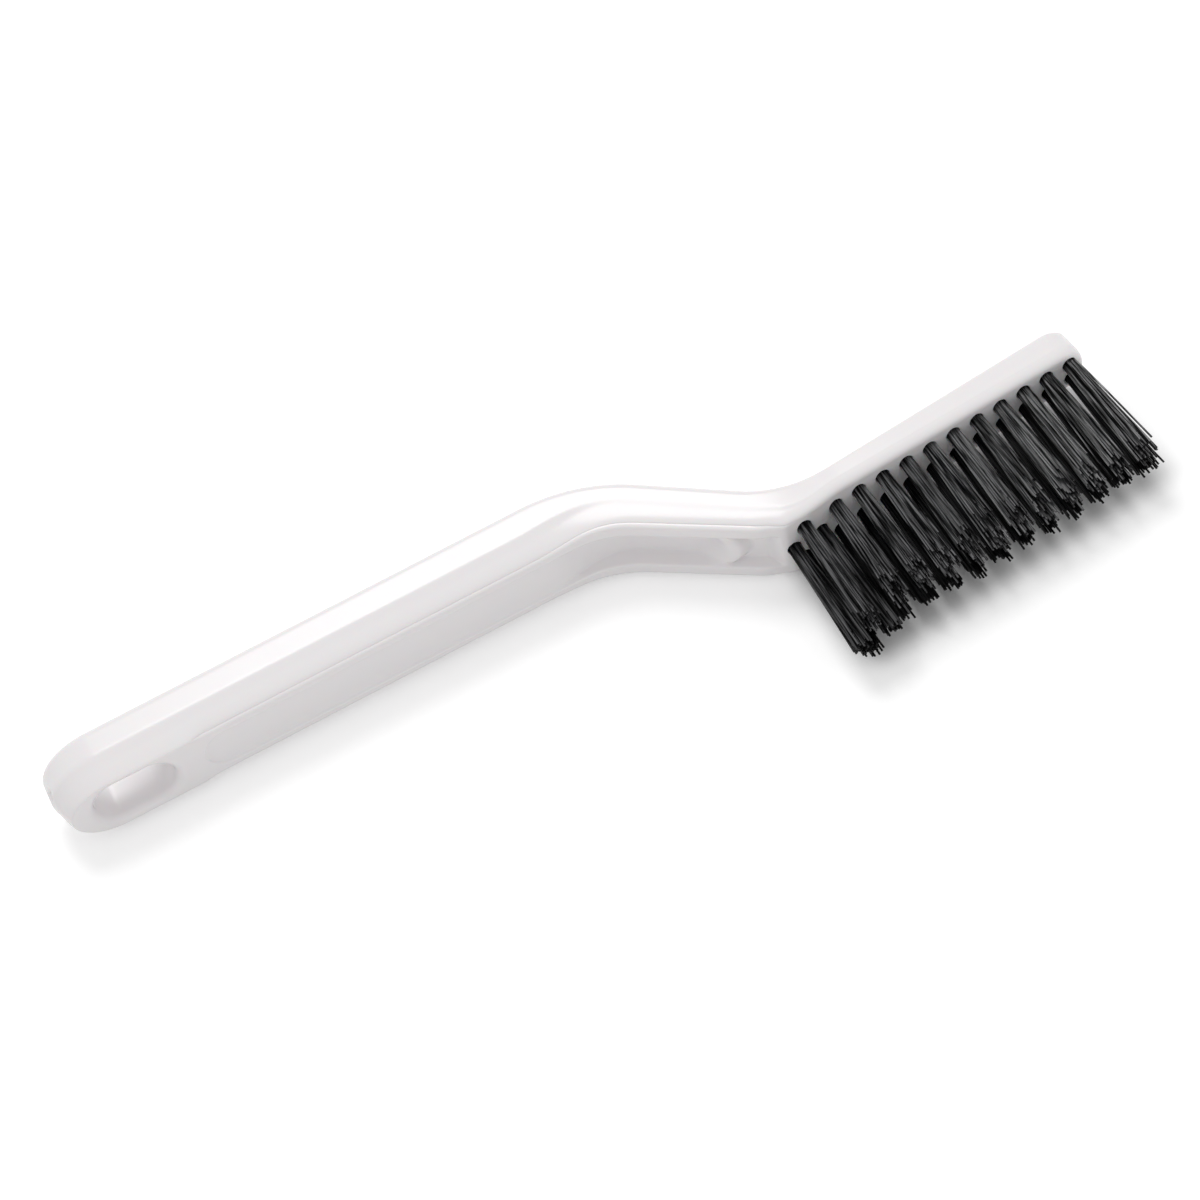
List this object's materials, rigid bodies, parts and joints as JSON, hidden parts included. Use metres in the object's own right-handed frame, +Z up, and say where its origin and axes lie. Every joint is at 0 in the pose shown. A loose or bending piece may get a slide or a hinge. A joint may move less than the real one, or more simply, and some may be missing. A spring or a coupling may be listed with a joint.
{
  "type": "crevice brush",
  "caption": "Slim crevice brush with a cranked white plastic handle, hanging slot and raised side rims, and a narrow tapered head with two rows of long stiff black bristle tufts.",
  "frame": {"origin": "the middle of the flat side strip of the grip on which the brush lies, 58.5 mm from the butt end", "axes": "+X along the handle from the butt to the head; +Y from the bristles to the spine; +Z up, out of the side that faces up as the brush lies"},
  "size_m": [0.2181, 0.0624, 0.0175],
  "materials": {
    "white_plastic": "glossy white polypropylene moulding",
    "filament": "black nylon filament",
    "anchor_steel": "plain flat wire"
  },
  "bodies": {
    "root": {"handle": "white_plastic", "anchors": "anchor_steel", "tuft_near_01": "filament", "tuft_near_02": "filament", "tuft_near_03": "filament", "tuft_near_04": "filament", "tuft_near_05": "filament", "tuft_near_06": "filament", "tuft_near_07": "filament", "tuft_near_08": "filament", "tuft_near_09": "filament", "tuft_near_10": "filament", "tuft_near_11": "filament", "tuft_far_01": "filament", "tuft_far_02": "filament", "tuft_far_03": "filament", "tuft_far_04": "filament", "tuft_far_05": "filament", "tuft_far_06": "filament", "tuft_far_07": "filament", "tuft_far_08": "filament", "tuft_far_09": "filament", "tuft_far_10": "filament", "tuft_far_11": "filament", "tuft_heel_1": "filament", "tuft_heel_2": "filament", "tuft_heel_3": "filament", "tuft_heel_4": "filament"}
  },
  "joints": []
}
